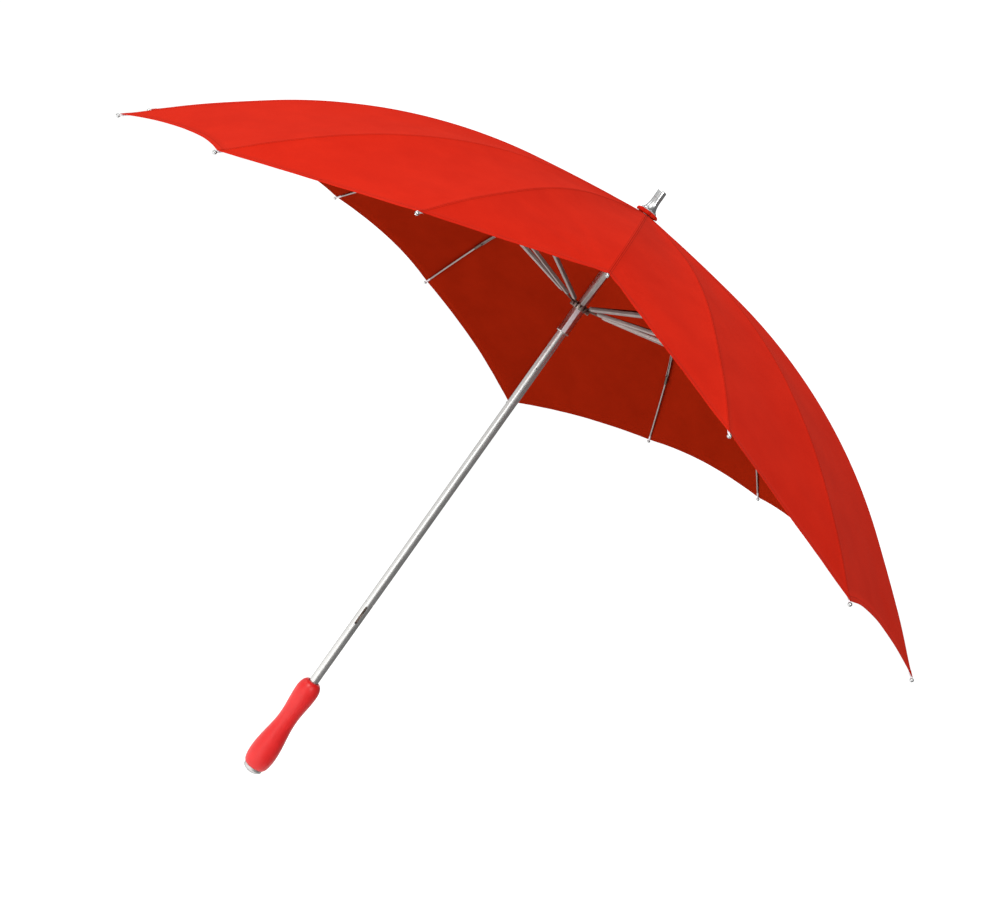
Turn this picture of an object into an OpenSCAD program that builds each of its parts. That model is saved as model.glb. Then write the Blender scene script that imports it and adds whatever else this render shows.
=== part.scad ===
// Stick umbrella with a heart-shaped canopy, shown open.
// +Z runs up the shaft, the origin is the middle of the grip, and the heart's notch faces -Y.

/* [Canopy] */
// Length of each rib from the shaft's axis, from the notch round to the heart's point
rib_lengths = [368, 503, 596, 642, 628, 590, 581, 611, 732]; // [350:1:750]
// Fall of the ribs below level, in degrees, at equal steps from the top to the rim
rib_slopes = [6.6, 10.2, 23.4, 36.6, 38.9, 42.7]; // [2:0.1:70]
// Length of rib between two of those steps
slope_step = 160; // [159:1:165]
// How much steeper each rib is at the steps beyond its rivet, from the notch round to the point
rib_bends = [0, -9.6, -1.6, 1.3, 0.7, 0, 0.1, 3.7, 4.5]; // [-10:0.1:5]
// Height of the canopy's top above the middle of the grip
canopy_top = 770; // [740:5:800]
// How far each free edge dips in between its two ribs, as a share of the rib, from the notch round to the point
edge_dips = [0, 0, 0.035, 0.03, 0.03, 0.022, 0.022, 0.016]; // [0:0.001:0.08]
// Thickness of the cloth's solid
cloth_t = 0.8; // [0.4:0.1:1]

/* [Ribs and stretchers] */
// Width of a rib's channel
rib_w = 3.4; // [3:0.1:3.6]
// Height of a rib's channel
rib_h = 3; // [2.6:0.1:3.2]
// Length of rib up to the joint sleeve, on the ribs that are long enough
sleeve_at = 471; // [450:1:471]
// Length of rib up to the rivet that holds the stretcher
rivet_at = 316; // [300:1:319]
// Width of a stretcher's channel
stretcher_w = 5.2; // [5:0.1:5.4]
// Height of a stretcher's channel
stretcher_h = 4; // [3.6:0.1:4.2]
// Length of the rod end between a stretcher's channel and the runner
rod_end = 24; // [22:1:30]

/* [Shaft and runner] */
// Outer diameter of the shaft
shaft_d = 12; // [12:0.1:12.4]
// Wall of the shaft tube
shaft_wall = 0.9; // [0.7:0.1:1]
// Diameter of the ring of hinges at the top notch and at the runner
hinge_ring_d = 22; // [22:0.1:22.4]
// Outer diameter of the top notch and of the runner's crown
crown_d = 27; // [26:0.5:28]
// Height of the top notch and of the runner's crown
crown_h = 8; // [7:0.5:8]
// Outer diameter of the runner's sleeve
runner_d = 15.2; // [14.8:0.1:15.6]
// Length of the runner's sleeve below its crown
runner_h = 34; // [30:1:36]

/* [Grip] */
// Length of the grip
grip_h = 131; // [120:1:140]
// Diameter of the grip near its top
grip_top_d = 30; // [28:0.2:33]
// Diameter of the grip at its waist
grip_waist_d = 24.6; // [24:0.2:27]
// Diameter of the grip near its bottom
grip_bottom_d = 35.6; // [33:0.2:38]
// Diameter of the end cap
cap_d = 25.6; // [22:0.2:26]
// How far the end cap stands out of the grip
cap_h = 9; // [7:0.5:11]

/* [Ferrule] */
// Height of the ferrule
ferrule_h = 28; // [26:1:32]
// Diameter of the ferrule at its flared foot
ferrule_foot_d = 20.4; // [19:0.2:22]
// Diameter of the ferrule's straight tip
ferrule_tip_d = 11.6; // [11:0.2:12.4]

/* [Hidden] */

// Colours
satin_silver = "#b9babc";
rib_grey = "#b3a5a2";
dark_steel = "#4a4038";
cloth_red = "#d4221a";
grip_red = "#dc2429";
panel_grey = "#cfcbd1";

// Canopy layout: the ribs stand at equal turns, and the lengths mirror from side to side
rib_count = 2 * (len(rib_lengths) - 1);
rib_turn = 360 / rib_count;
last_arc = len(rib_slopes) - 2;
rivet_arc = 2;         // the ribs are all alike up to this step
to_degrees = 180 / PI;
arc_fn = 360;
round_fn = 48;
gap = 0.05;            // between pieces that are fixed face to face

// Ribs: distances are measured along the canopy, heights from its top surface
rib_depth = 3.8;       // from the cloth's top surface to the middle of a rib
channel_wall = 0.6;
channel_start = 20;
eye_drop = 7.5;        // from the canopy's top down to the ring of wire through the ribs' eyes
eye_r = 1.7;
blade_t = 1.2;         // thickness of an eye
blade_h = 2.4;
wire_r = 0.5;
wire_bore_r = 0.65;
slot_w = 1.8;
slot_floor_r = 9;
rivet_r = 0.9;
rivet_bore_r = 0.98;
rivet_head_r = 1.5;
rivet_head_t = 0.5;
sleeve_r = 2.2;
sleeve_half = 9;
sleeve_from_tip = 95;  // on the ribs that are too short for sleeve_at
rod_r = 1.3;
rod_sides = 8;
tip_cap_r = 1.7;
tip_cap_from = 13;
tip_ball_r = 2.4;
tip_ball_gap = 2.45;

// Stretchers
end_eye_r = 1.5;
end_wire_r = 0.7;
end_grip = 2;          // how deep the rod end sits in the plug at the channel's end
plug_l = 5;
fork_l = 12;           // the stretch without a web, which straddles the rib

// Cloth panels
cloth_start = 9;
cloth_end = 6;         // from the middle of the ball to the cloth's corner
panel_rows = 20;
panel_columns = 3;     // on each side of the rib
panel_share = 0.498;   // how much of the way to the next rib a panel reaches

// Shaft, in the umbrella's own height
tube_bottom = -56;
tube_top = 784;
shaft_r = shaft_d / 2;
fixed_bore_r = shaft_r + gap;
running_bore_r = shaft_r + 0.06;
ring_r = hinge_ring_d / 2;
ring_z = canopy_top - eye_drop;
rivet_point = along_rib(0, rivet_at, -rib_depth);
rivet_z = canopy_top + rivet_point[1];
runner_z = 2 * rivet_z - ring_z;
stretcher_length = norm([rivet_point[0] - ring_r, rivet_z - ring_z]);
stretcher_rise = asin((ring_z - rivet_z) / stretcher_length);

// Catches: leaf, pin and nose, each in its slot in the shaft
catch_w = 2.2;
catch_t = 0.8;
catch_in = 3.4;        // from the axis out to the pin
catch_out = 8.4;       // from the axis out to the nose's tip
catch_pin_r = 0.8;
catch_pin_l = 8.4;
catch_nose_h = 6;
catch_slot_w = 2.8;
pin_bore_r = 0.85;
top_pin_z = 548;
top_nose_z = 592;
bottom_pin_z = 188;
bottom_nose_z = 159;
locating_hole_z = 543;
runner_slot_w = 3.2;
runner_slot_r = 9;
collar_d = 16.4;
collar_h = 3;
pad_w = 5.6;
pad_r = 9.35;          // from the axis out to the runner's flat pad, which covers the groove for the lower catch
pad_groove_r = 8.7;
pad_end = 1.5;

// Rosette and ferrule
rosette_z = 769.5;
rosette_h = 5.3;
rosette_inner_r = 11.4;
rosette_outer_r = 14.6;
rosette_points = 8;
washer_h = 0.6;
washer_r = 10.7;
flare_h = 14;
flare_lip = 0.8;
tip_round = 1.2;
socket_depth = 9;

function wrapped(k) = (k + rib_count) % rib_count;
function mirrored(k) = min(wrapped(k), rib_count - wrapped(k));
function rib_length(k) = rib_lengths[mirrored(k)];
function rib_azimuth(k) = -90 + k * rib_turn;
function sleeve_place(k) = min(sleeve_at, rib_length(k) - sleeve_from_tip);
function edge_dip(k, side) = let (edge = wrapped(side > 0 ? k : k - 1)) edge_dips[min(edge, rib_count - 1 - edge)];

// Slope at step i of rib k, and where its arc i starts, as [out from the axis, up from the canopy's top]
function step_slope(k, i) = rib_slopes[i] + (i > rivet_arc ? rib_bends[mirrored(k)] : 0);
function arc_radius(k, i) = slope_step / ((step_slope(k, i + 1) - step_slope(k, i)) / to_degrees);
function turn_vector(from, to) = [sin(to) - sin(from), cos(to) - cos(from)];
function arc_start(k, i) =
    i == 0 ? [0, 0]
    : arc_start(k, i - 1) + arc_radius(k, i - 1) * turn_vector(step_slope(k, i - 1), step_slope(k, i));
function arc_at(s) = min(floor(s / slope_step), last_arc);
function slope_at(k, s) =
    let (i = arc_at(s)) step_slope(k, i) + (s - i * slope_step) / arc_radius(k, i) * to_degrees;

// The point at distance s along rib k and at height h off the cloth's top surface
function along_rib(k, s, h = 0) =
    let (i = arc_at(s), slope = slope_at(k, s))
    arc_start(k, i) + arc_radius(k, i) * turn_vector(step_slope(k, i), slope) + h * [sin(slope), cos(slope)];

// Puts its children in the upright plane of rib k, +X outwards, with the height from the canopy's top
module at_rib(k) {
    rotate([0, 0, rib_azimuth(k)]) translate([0, 0, canopy_top]) children();
}

// Draws a section along rib k, X of the section off the cloth and Y across the rib
module along(k, from, to) {
    for (i = [0:last_arc]) {
        start = max(from, i * slope_step);
        end = i == last_arc ? to : min(to, (i + 1) * slope_step);
        if (end > start) {
            radius = arc_radius(k, i);
            slope = step_slope(k, i);
            centre = arc_start(k, i) - radius * [sin(slope), cos(slope)];
            translate([centre[0], 0, centre[1]])
                rotate([0, slope + (start - i * slope_step) / radius * to_degrees, 0])
                    rotate(a = -120, v = [1, 1, 1])
                        rotate_extrude(angle = (end - start) / radius * to_degrees, $fn = arc_fn)
                            translate([radius, 0]) children();
        }
    }
}

// A U-shaped section with its open side towards -X
module channel_section(width, height, wall) {
    difference() {
        square([height, width], center = true);
        translate([-wall, 0]) square([height, width - 2 * wall], center = true);
    }
}

// An eye plate standing in the rib's plane at the origin
module eye(radius) {
    rotate([90, 0, 0]) cylinder(r = radius, h = blade_t, center = true, $fn = round_fn);
}

module eye_bore() {
    rotate([90, 0, 0]) cylinder(r = wire_bore_r, h = 3 * blade_t, center = true, $fn = round_fn);
}

// Rib: channel with its eye and rivet, joint sleeve, outer rod, end cap and ball
module rib(k) {
    tab_end = along_rib(k, channel_start + 4, -rib_depth);
    tab_run = tab_end - [ring_r, -eye_drop];
    at_rib(k) {
        color(rib_grey) difference() {
            union() {
                along(k, channel_start, sleeve_place(k) - sleeve_half)
                    translate([-rib_depth, 0]) channel_section(rib_w, rib_h, channel_wall);
                translate([rivet_point[0], 0, rivet_point[1]]) rivet();
                translate([ring_r, 0, -eye_drop]) {
                    eye(eye_r);
                    rotate([0, -atan2(tab_run[1], tab_run[0]), 0])
                        translate([norm(tab_run) / 2, 0, 0]) cube([norm(tab_run), blade_t, blade_h], center = true);
                }
                translate([tab_end[0], 0, tab_end[1]]) cube([5, rib_w - channel_wall, rib_h - channel_wall], center = true);
            }
            translate([ring_r, 0, -eye_drop]) eye_bore();
        }
        color(dark_steel) along(k, sleeve_place(k) - sleeve_half + gap, sleeve_place(k) + sleeve_half)
            translate([-rib_depth, 0]) circle(r = sleeve_r, $fn = round_fn);
        color(rib_grey) along(k, sleeve_place(k) + sleeve_half + gap, rib_length(k) - tip_cap_from)
            translate([-rib_depth, 0]) circle(r = rod_r, $fn = rod_sides);
        color(dark_steel) along(k, rib_length(k) - tip_cap_from + gap, rib_length(k) - tip_ball_gap)
            translate([-rib_depth, 0]) circle(r = tip_cap_r, $fn = round_fn);
        ball = along_rib(k, rib_length(k), -rib_depth);
        color(satin_silver) translate([ball[0], 0, ball[1]]) sphere(r = tip_ball_r, $fn = round_fn);
    }
}

// Rivet across the rib, with a head outside each cheek of the stretcher
module rivet() {
    head_y = stretcher_w / 2 + 0.2;
    rotate([90, 0, 0]) cylinder(r = rivet_r, h = 2 * head_y + rivet_head_t, center = true, $fn = round_fn);
    for (side = [-1, 1])
        translate([0, side * (head_y + rivet_head_t / 2), 0])
            rotate([90, 0, 0]) cylinder(r = rivet_head_r, h = rivet_head_t, center = true, $fn = round_fn);
}

// Stretcher: rod end with its eye, channel bar, and a fork that straddles the rib
module stretcher(k) {
    web_end = stretcher_length - fork_l;
    bar_start = rod_end - end_grip;
    cheek_y = (stretcher_w - channel_wall) / 2;
    at_rib(k) translate([ring_r, 0, runner_z - canopy_top]) rotate([0, -stretcher_rise, 0]) {
        color(dark_steel) difference() {
            union() {
                eye(end_eye_r);
                translate([end_eye_r - end_wire_r, 0, 0]) rotate([0, 90, 0])
                    cylinder(r = end_wire_r, h = rod_end - end_eye_r + end_wire_r, $fn = round_fn);
            }
            eye_bore();
        }
        color(rib_grey) difference() {
            union() {
                translate([bar_start, -stretcher_w / 2, -stretcher_h / 2])
                    cube([web_end - bar_start, stretcher_w, channel_wall]);
                translate([bar_start, -stretcher_w / 2, -stretcher_h / 2])
                    cube([plug_l, stretcher_w, stretcher_h - 0.4]);
                for (side = [-1, 1]) translate([0, side * cheek_y, 0]) rotate([90, 0, 0])
                    linear_extrude(channel_wall, center = true) {
                        translate([bar_start, -stretcher_h / 2])
                            square([stretcher_length - bar_start, stretcher_h]);
                        translate([stretcher_length, 0]) circle(r = stretcher_h / 2, $fn = round_fn);
                    }
            }
            translate([stretcher_length, 0, 0]) rotate([90, 0, 0])
                cylinder(r = rivet_bore_r, h = 2 * stretcher_w, center = true, $fn = round_fn);
            translate([bar_start - 1, 0, 0]) rotate([0, 90, 0])
                cylinder(r = end_wire_r + gap, h = end_grip + 1 + gap, $fn = round_fn);
        }
    }
}

// A cloth point: u runs from the top to the rim, v from rib k towards its neighbour
function cloth_point(k, side, u, v, h) =
    let (
        dipped = u * (1 - edge_dip(k, side) * 4 * v * (1 - v)),
        own = along_rib(k, cloth_start + dipped * (rib_length(k) - cloth_end - cloth_start), h),
        next = along_rib(k + side, cloth_start + dipped * (rib_length(k + side) - cloth_end - cloth_start), h),
        reach = (1 - v) * own[0] * [1, 0] + v * next[0] * [cos(rib_turn), side * sin(rib_turn)]
    )
    [reach[0], reach[1], (1 - v) * own[1] + v * next[1]];

// Cloth panel centred on rib k, halfway to the rib on each side
module canopy(k) {
    columns = 2 * panel_columns + 1;
    sheet = (panel_rows + 1) * columns;
    points = [
        for (h = [0, -cloth_t]) for (row = [0:panel_rows]) for (column = [-panel_columns:panel_columns])
            cloth_point(k, column < 0 ? -1 : 1, row / panel_rows, panel_share * abs(column) / panel_columns, h)
    ];
    top_faces = [
        for (row = [0:panel_rows - 1]) for (column = [0:columns - 2])
            let (a = row * columns + column) each [[a, a + 1, a + columns + 1], [a, a + columns + 1, a + columns]]
    ];
    under_faces = [for (f = top_faces) [f[2] + sheet, f[1] + sheet, f[0] + sheet]];
    rim = concat(
        [for (column = [0:columns - 2]) column],
        [for (row = [0:panel_rows - 1]) row * columns + columns - 1],
        [for (column = [columns - 1:-1:1]) panel_rows * columns + column],
        [for (row = [panel_rows:-1:1]) row * columns]
    );
    rim_faces = [
        for (i = [0:len(rim) - 1])
            let (a = rim[i], b = rim[(i + 1) % len(rim)]) each [[b, a, a + sheet], [b, a + sheet, b + sheet]]
    ];
    color(cloth_red) at_rib(k) polyhedron(points = points, faces = concat(top_faces, under_faces, rim_faces));
}

// Shaft tube with a slot and a pin hole for each catch
module shaft_tube() {
    color(satin_silver) difference() {
        translate([0, 0, tube_bottom]) cylinder(r = shaft_r, h = tube_top - tube_bottom, $fn = round_fn);
        translate([0, 0, tube_bottom - 1])
            cylinder(r = shaft_r - shaft_wall, h = tube_top - tube_bottom + 2, $fn = round_fn);
        catch_slot(top_pin_z + 4, top_nose_z + 2, 1);
        catch_slot(bottom_nose_z - 2, bottom_pin_z - 5, -1);
        for (z = [top_pin_z, bottom_pin_z]) translate([0, catch_side(z) * catch_in, z])
            rotate([0, 90, 0]) cylinder(r = pin_bore_r, h = 2 * shaft_d, center = true, $fn = round_fn);
        translate([0, -shaft_r, locating_hole_z]) rotate([90, 0, 0]) cylinder(r = 0.9, h = 4, center = true, $fn = round_fn);
    }
}

function catch_side(z) = z == top_pin_z ? 1 : -1;

module catch_slot(from, to, side) {
    translate([-catch_slot_w / 2, side > 0 ? 2 : -shaft_d, from]) cube([catch_slot_w, shaft_d - 2, to - from]);
}

// Leaf catch: the pin at the origin, the leaf up +Z and its nose out along +Y
module leaf_catch(length) {
    nose_y = catch_out - catch_in;
    rotate([0, 90, 0]) cylinder(r = catch_pin_r, h = catch_pin_l, center = true, $fn = round_fn);
    rotate([90, 0, 90]) linear_extrude(catch_w, center = true) polygon([
        [-catch_t / 2, 0], [catch_t / 2, 0], [catch_t / 2, length - 2.5 * catch_nose_h], [nose_y, length - 1],
        [nose_y, length], [-catch_t / 2, length]
    ]);
}

module top_catch() {
    color(dark_steel) translate([0, catch_in, top_pin_z]) leaf_catch(top_nose_z - top_pin_z);
}

module bottom_catch() {
    color(dark_steel) translate([0, -catch_in, bottom_pin_z]) rotate([180, 0, 0])
        leaf_catch(bottom_pin_z - bottom_nose_z);
}

// Grip: radius at height z, blended smoothly from the bottom swelling to the waist and to the top swelling
grip_stations = [[-46, grip_bottom_d / 2], [10, grip_waist_d / 2], [50, grip_top_d / 2]];
function blend(from, to, t) = from + (to - from) * (1 - cos(180 * t)) / 2;
function swelling(i, steps) = [
    for (j = [0:steps - 1])
        let (low = grip_stations[i], high = grip_stations[i + 1], t = j / steps)
        [blend(low[1], high[1], t), low[0] + (high[0] - low[0]) * t]
];
function rounded_end(station, z_end, r_end, steps) = [
    for (j = [0:steps])
        let (t = 90 * j / steps)
        [r_end + (station[1] - r_end) * cos(t), station[0] + (z_end - station[0]) * sin(t)]
];
function backwards(list) = [for (i = [len(list) - 1:-1:0]) list[i]];

module handle_grip() {
    outline = concat(
        backwards(rounded_end(grip_stations[0], -grip_h / 2, 13, 6)),
        [for (p = swelling(0, 10)) if (p[1] > grip_stations[0][0]) p],
        swelling(1, 8),
        rounded_end(grip_stations[2], grip_h / 2, shaft_r + 1.5, 8)
    );
    color(grip_red) rotate_extrude($fn = round_fn) polygon(concat(
        outline,
        [[fixed_bore_r, grip_h / 2], [fixed_bore_r, tube_bottom - 1], [0, tube_bottom - 1], [0, -grip_h / 2]]
    ));
}

// Domed end cap under the grip
module handle_end_cap() {
    rim_h = cap_h / 3;
    dome_h = cap_h - rim_h;
    dome_r = (pow(cap_d / 2, 2) + pow(dome_h, 2)) / (2 * dome_h);
    color(satin_silver) intersection() {
        translate([0, 0, -grip_h / 2 - cap_h]) cylinder(d = cap_d, h = cap_h - gap, $fn = round_fn);
        translate([0, 0, -grip_h / 2 - cap_h + dome_r]) sphere(r = dome_r, $fn = 2 * round_fn);
    }
}

// Slotted ring that carries hinges, with a channel for its ring of wire
module hinge_ring(bore_r) {
    difference() {
        rotate_extrude($fn = round_fn) difference() {
            translate([bore_r, -crown_h / 2]) square([crown_d / 2 - bore_r, crown_h]);
            translate([ring_r, 0]) circle(r = wire_r + gap, $fn = round_fn);
        }
        for (k = [0:rib_count - 1]) rotate([0, 0, rib_azimuth(k)])
            translate([slot_floor_r, -slot_w / 2, -crown_h]) cube([crown_d, slot_w, 2 * crown_h]);
    }
}

module hinge_wire() {
    rotate_extrude($fn = round_fn) translate([ring_r, 0]) circle(r = wire_r, $fn = round_fn);
}

module top_notch() {
    color(satin_silver) translate([0, 0, ring_z]) hinge_ring(fixed_bore_r);
}

module notch_wire() {
    color(dark_steel) translate([0, 0, ring_z]) hinge_wire();
}

// Runner: slotted crown, sleeve with a collar and a flat pad, an open groove that clears the upper catch,
// and a covered one behind the pad that takes the lower catch
module runner() {
    bottom = -crown_h / 2 - runner_h;
    color(panel_grey) translate([0, 0, runner_z]) difference() {
        union() {
            hinge_ring(running_bore_r);
            translate([0, 0, bottom]) runner_tube(runner_d, runner_h + 1);
            translate([0, 0, bottom]) runner_tube(collar_d, collar_h);
            difference() {
                translate([-pad_w / 2, -pad_r, bottom + pad_end])
                    cube([pad_w, pad_r, runner_h - pad_end]);
                translate([0, 0, bottom]) cylinder(r = running_bore_r + 0.4, h = runner_h + 1, $fn = round_fn);
            }
        }
        translate([-runner_slot_w / 2, 0, bottom - 1]) cube([runner_slot_w, runner_slot_r, runner_h + crown_h + 2]);
        translate([-runner_slot_w / 2, -pad_groove_r, bottom - 1]) cube([runner_slot_w, pad_groove_r, runner_h + 1]);
    }
}

module runner_tube(diameter, height) {
    difference() {
        cylinder(d = diameter, h = height, $fn = round_fn);
        translate([0, 0, -1]) cylinder(r = running_bore_r, h = height + 2, $fn = round_fn);
    }
}

module runner_wire() {
    color(dark_steel) translate([0, 0, runner_z]) hinge_wire();
}

// Gathered cloth round the foot of the ferrule
module fabric_rosette() {
    color(cloth_red) translate([0, 0, rosette_z]) difference() {
        linear_extrude(rosette_h) polygon([
            for (i = [0:2 * rosette_points - 1])
                let (r = i % 2 == 0 ? rosette_outer_r : rosette_inner_r, a = 180 * i / rosette_points)
                r * [cos(a), sin(a)]
        ]);
        translate([0, 0, -1]) cylinder(r = fixed_bore_r, h = rosette_h + 2, $fn = round_fn);
    }
}

washer_z = rosette_z + rosette_h + gap;
ferrule_z = washer_z + washer_h + gap;

module ferrule_washer() {
    color(panel_grey) translate([0, 0, washer_z]) difference() {
        cylinder(r = washer_r, h = washer_h, $fn = round_fn);
        translate([0, 0, -1]) cylinder(r = fixed_bore_r, h = 3, $fn = round_fn);
    }
}

// Trumpet-shaped ferrule with a blind socket for the shaft's end
module ferrule() {
    tip_r = ferrule_tip_d / 2;
    foot_r = ferrule_foot_d / 2;
    flare = [for (t = [0:10:90]) [tip_r + (foot_r - tip_r) * (1 - sin(t)), flare_lip + flare_h * (1 - cos(t))]];
    crown = [for (t = [0:15:90]) [tip_r - tip_round * (1 - cos(t)), ferrule_h - tip_round * (1 - sin(t))]];
    color(satin_silver) translate([0, 0, ferrule_z]) difference() {
        rotate_extrude($fn = round_fn)
            polygon(concat([[0, 0], [foot_r, 0]], flare, crown, [[0, ferrule_h]]));
        translate([0, 0, -1]) cylinder(r = fixed_bore_r, h = socket_depth + 1, $fn = round_fn);
    }
}

shaft_tube();
handle_grip();
handle_end_cap();
ferrule();
ferrule_washer();
fabric_rosette();
top_notch();
notch_wire();
runner();
runner_wire();
top_catch();
bottom_catch();
for (k = [0:rib_count - 1]) {
    number = str(k < 10 ? "0" : "", k);
    rib(k);
    stretcher(k);
    canopy(k);
}
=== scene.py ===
"""Stick umbrella with a heart-shaped canopy: the finished pieces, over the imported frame."""
import math
from contextlib import contextmanager

import bpy
from mathutils import Matrix, Vector, noise


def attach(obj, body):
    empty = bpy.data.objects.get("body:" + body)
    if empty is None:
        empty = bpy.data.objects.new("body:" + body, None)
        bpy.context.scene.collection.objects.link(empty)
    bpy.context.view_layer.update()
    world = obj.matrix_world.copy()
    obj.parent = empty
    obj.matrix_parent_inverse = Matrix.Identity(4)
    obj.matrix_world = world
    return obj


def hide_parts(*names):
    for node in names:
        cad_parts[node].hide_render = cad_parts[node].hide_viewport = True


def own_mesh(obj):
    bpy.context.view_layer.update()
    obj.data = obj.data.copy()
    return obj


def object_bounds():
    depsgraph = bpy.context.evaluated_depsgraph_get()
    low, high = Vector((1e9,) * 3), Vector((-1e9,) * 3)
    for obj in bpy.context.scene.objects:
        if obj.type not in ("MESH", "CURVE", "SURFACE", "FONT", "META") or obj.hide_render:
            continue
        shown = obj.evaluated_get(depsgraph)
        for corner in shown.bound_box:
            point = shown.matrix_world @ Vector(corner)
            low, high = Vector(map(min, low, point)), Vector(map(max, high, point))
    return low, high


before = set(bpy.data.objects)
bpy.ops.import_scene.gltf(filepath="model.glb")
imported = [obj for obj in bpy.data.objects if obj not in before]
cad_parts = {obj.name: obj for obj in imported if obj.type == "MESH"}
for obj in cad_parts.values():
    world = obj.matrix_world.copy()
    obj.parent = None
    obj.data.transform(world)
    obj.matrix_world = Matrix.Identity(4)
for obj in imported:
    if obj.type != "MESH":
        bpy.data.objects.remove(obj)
cad_low, cad_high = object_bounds()

MM = 0.001
UP = Vector((0, 0, 1))

ALONG_X, ALONG_Y = (0, math.pi / 2, 0), (math.pi / 2, 0, 0)

# Sizes of the umbrella in millimetres: distances along a rib are measured on the cloth's top side
CANOPY_TOP = 770
RIB_COUNT = 16
RIB_TURN = math.radians(360 / RIB_COUNT)
RIB_LENGTHS = [368, 503, 596, 642, 628, 590, 581, 611, 732]
RIB_SLOPES = [6.6, 10.2, 23.4, 36.6, 38.9, 42.7]
RIB_BENDS = [0, -9.6, -1.6, 1.3, 0.7, 0, 0.1, 3.7, 4.5]
SLOPE_STEP = 160
RIVET_STEP = 2
EDGE_DIPS = [0, 0, 0.035, 0.03, 0.03, 0.022, 0.022, 0.016]
RIB_DEPTH = 3.8
CLOTH_START = 9
CLOTH_END = 2.6
RIVET_AT = 316
SLEEVE_AT = 471
SLEEVE_FROM_TIP = 95
SLEEVE_HALF = 9
TIP_CAP_FROM = 13
TIP_CAP_END = 2.1
RING_R = 11
RING_Z = 762.5
SHAFT_R, SHAFT_BORE_R, SHAFT_FOOT, SHAFT_TOP = 6, 5.1, -56, 784
FIT_R = 6.06
ROD_END = 24
# Where each catch's pin is: in front of or behind the shaft's axis, and its height
TOP_CATCH, BOTTOM_CATCH = (3.4, 548), (-3.4, 188)


# ---------------------------------------------------------------- the ribs' curve

def mirrored(k):
    return min(k % RIB_COUNT, RIB_COUNT - k % RIB_COUNT)


def rib_length(k):
    return RIB_LENGTHS[mirrored(k)]


def rib_azimuth(k):
    return math.radians(-90) + k * RIB_TURN


def sleeve_place(k):
    return min(SLEEVE_AT, rib_length(k) - SLEEVE_FROM_TIP)


def edge_dip(k, side):
    edge = (k if side > 0 else k - 1) % RIB_COUNT
    return EDGE_DIPS[min(edge, RIB_COUNT - 1 - edge)]


def step_slope(k, i):
    return math.radians(RIB_SLOPES[i] + (RIB_BENDS[mirrored(k)] if i > RIVET_STEP else 0))


def arc_radius(k, i):
    return SLOPE_STEP / (step_slope(k, i + 1) - step_slope(k, i))


def arc_start(k, i):
    x = z = 0
    for j in range(i):
        r = arc_radius(k, j)
        x += r * (math.sin(step_slope(k, j + 1)) - math.sin(step_slope(k, j)))
        z += r * (math.cos(step_slope(k, j + 1)) - math.cos(step_slope(k, j)))
    return x, z


ARCS = {k: [(step_slope(k, i), arc_radius(k, i), arc_start(k, i)) for i in range(len(RIB_SLOPES) - 1)]
        for k in range(RIB_COUNT)}


def slope_at(k, s):
    i = min(int(s // SLOPE_STEP), len(RIB_SLOPES) - 2)
    slope, r, _ = ARCS[k % RIB_COUNT][i]
    return slope + (s - i * SLOPE_STEP) / r


def along_rib(k, s, h=0):
    """Distance out and height, in millimetres from the canopy's top, at s along rib k and h above the cloth."""
    i = min(int(s // SLOPE_STEP), len(RIB_SLOPES) - 2)
    slope, r, (x, z) = ARCS[k % RIB_COUNT][i]
    now = slope + (s - i * SLOPE_STEP) / r
    return (x + r * (math.sin(now) - math.sin(slope)) + h * math.sin(now),
            z + r * (math.cos(now) - math.cos(slope)) + h * math.cos(now))


RIVET = along_rib(0, RIVET_AT, -RIB_DEPTH)
RIVET_Z = CANOPY_TOP + RIVET[1]
RUNNER_Z = 2 * RIVET_Z - RING_Z
STRETCHER_LENGTH = math.hypot(RIVET[0] - RING_R, RIVET_Z - RING_Z)
STRETCHER_RISE = math.asin((RING_Z - RIVET_Z) / STRETCHER_LENGTH)


# ---------------------------------------------------------------- making meshes

def deselect():
    bpy.ops.object.select_all(action="DESELECT")


def select(piece):
    deselect()
    piece.select_set(True)
    bpy.context.view_layer.objects.active = piece


def named(name):
    piece = bpy.context.active_object
    piece.name = piece.data.name = name
    return piece


@contextmanager
def shaping(piece):
    select(piece)
    bpy.ops.object.mode_set(mode="EDIT")
    yield
    bpy.ops.object.mode_set(mode="OBJECT")


def everything():
    bpy.ops.mesh.select_all(action="SELECT")


def pick(piece, test, kind="FACE"):
    """Selects only the faces, edges or vertices that pass the test on their middle and normal."""
    bpy.ops.mesh.select_mode(type=kind)
    bpy.ops.mesh.select_all(action="DESELECT")
    bpy.ops.object.mode_set(mode="OBJECT")
    mesh = piece.data
    if kind == "FACE":
        for face in mesh.polygons:
            face.select = bool(test(face.center, face.normal))
    elif kind == "EDGE":
        for edge in mesh.edges:
            a, b = (mesh.vertices[i].co for i in edge.vertices)
            edge.select = bool(test((a + b) / 2, b - a))
    else:
        for point in mesh.vertices:
            point.select = bool(test(point.co, point.normal))
    bpy.ops.object.mode_set(mode="EDIT")


def settle(piece, matrix=None):
    """Puts the piece's place into its mesh, so that its object sits at the origin, unturned."""
    select(piece)
    if matrix is not None:
        piece.matrix_world = matrix @ piece.matrix_world
    bpy.ops.object.transform_apply(location=True, rotation=True, scale=True)
    return piece


def applied(piece, kind, **settings):
    select(piece)
    modifier = piece.modifiers.new(kind.title(), kind)
    for key, value in settings.items():
        setattr(modifier, key, value)
    bpy.ops.object.modifier_apply(modifier=modifier.name)
    return piece


def bevelled(piece, width, segments=2, angle=30):
    return applied(piece, "BEVEL", width=width * MM, segments=segments, limit_method="ANGLE",
                   angle_limit=math.radians(angle))


def smooth(piece, angle=35):
    select(piece)
    bpy.ops.object.shade_smooth_by_angle(angle=math.radians(angle))
    return piece


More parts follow.
